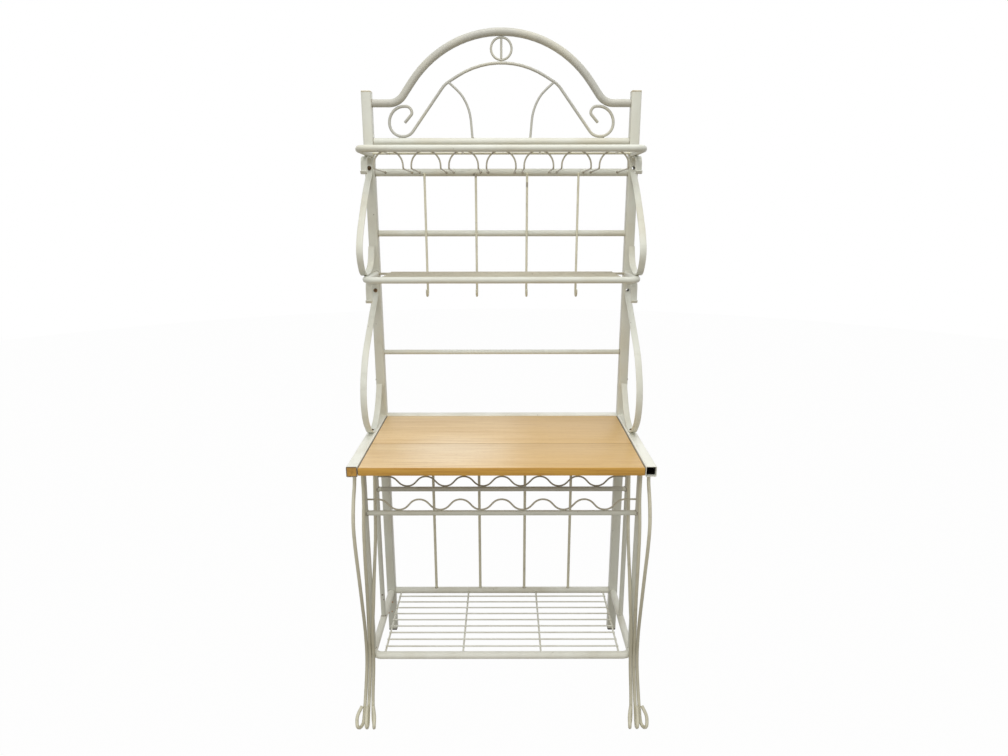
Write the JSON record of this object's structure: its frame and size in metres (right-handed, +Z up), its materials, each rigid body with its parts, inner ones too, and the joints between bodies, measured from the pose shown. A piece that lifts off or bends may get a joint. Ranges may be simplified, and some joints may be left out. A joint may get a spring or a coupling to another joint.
{
  "type": "bakers rack",
  "caption": "Tall wire and tube kitchen rack with a wooden worktop, shelves above and below, a bottle rack, a stemware rack, hooks and an arched scroll crest.",
  "frame": {"origin": "on the floor in the middle of the rack's outline", "axes": "+Z up, +Y towards the back of the rack, X across it; the front faces -Y"},
  "size_m": [0.736, 0.4365, 1.6995],
  "materials": {
    "frame_paint": "satin, aged",
    "wire_paint": "satin, aged",
    "strap_paint": "satin, aged",
    "oak_planks": "satin lacquer",
    "end_plug": "matte",
    "plastic_caps": "matte",
    "glide_plastic": "matte",
    "screw_bronze": "dark bronze",
    "bare_steel": "bare"
  },
  "bodies": {
    "root": {"back_rail_hanger": "frame_paint", "back_rail_low": "frame_paint", "back_rail_middle": "frame_paint", "back_rail_top": "frame_paint", "bottle_bar_front": "frame_paint", "bottle_bar_rear": "frame_paint", "bottle_wave_front": "wire_paint", "bottle_wave_rear": "wire_paint", "bracket_bolts": "screw_bronze", "crest_ring": "wire_paint", "crest_ring_bar": "wire_paint", "crest_scroll_wire": "wire_paint", "crest_side_wires": "wire_paint", "crest_tube": "frame_paint", "frame_screws": "screw_bronze", "front_post_left": "frame_paint", "front_post_right": "frame_paint", "hook_rods": "wire_paint", "leg_inner_rod_left": "wire_paint", "leg_inner_rod_right": "wire_paint", "leg_middle_rod_left": "wire_paint", "leg_middle_rod_right": "wire_paint", "leg_outer_rod_left": "wire_paint", "leg_outer_rod_right": "wire_paint", "low_shelf_cross_wires": "wire_paint", "low_shelf_frame": "frame_paint", "low_shelf_rear_tube": "frame_paint", "low_shelf_runners": "wire_paint", "lower_back_rods": "wire_paint", "lower_bracket_left": "strap_paint", "lower_bracket_right": "strap_paint", "lower_upright_left": "frame_paint", "lower_upright_right": "frame_paint", "mid_post_left": "frame_paint", "mid_post_right": "frame_paint", "mid_shelf_cross_wires": "wire_paint", "mid_shelf_frame": "frame_paint", "mid_shelf_rear_wire": "wire_paint", "mid_shelf_runners": "wire_paint", "plank_screws": "screw_bronze", "plank_tabs": "frame_paint", "rail_end_plug": "end_plug", "rear_glides": "glide_plastic", "stemware_hoops": "wire_paint", "top_shelf_cross_wires": "wire_paint", "top_shelf_frame": "frame_paint", "top_shelf_rear_wire": "wire_paint", "top_shelf_runners": "wire_paint", "upper_bracket_left": "strap_paint", "upper_bracket_right": "strap_paint", "upper_upright_left": "frame_paint", "upper_upright_right": "frame_paint", "upright_caps": "plastic_caps", "upright_spigots": "bare_steel", "worktop_front_plank": "oak_planks", "worktop_rear_plank": "oak_planks", "worktop_rear_rail": "frame_paint", "worktop_side_rail_left": "frame_paint", "worktop_side_rail_right": "frame_paint"}
  },
  "joints": []
}
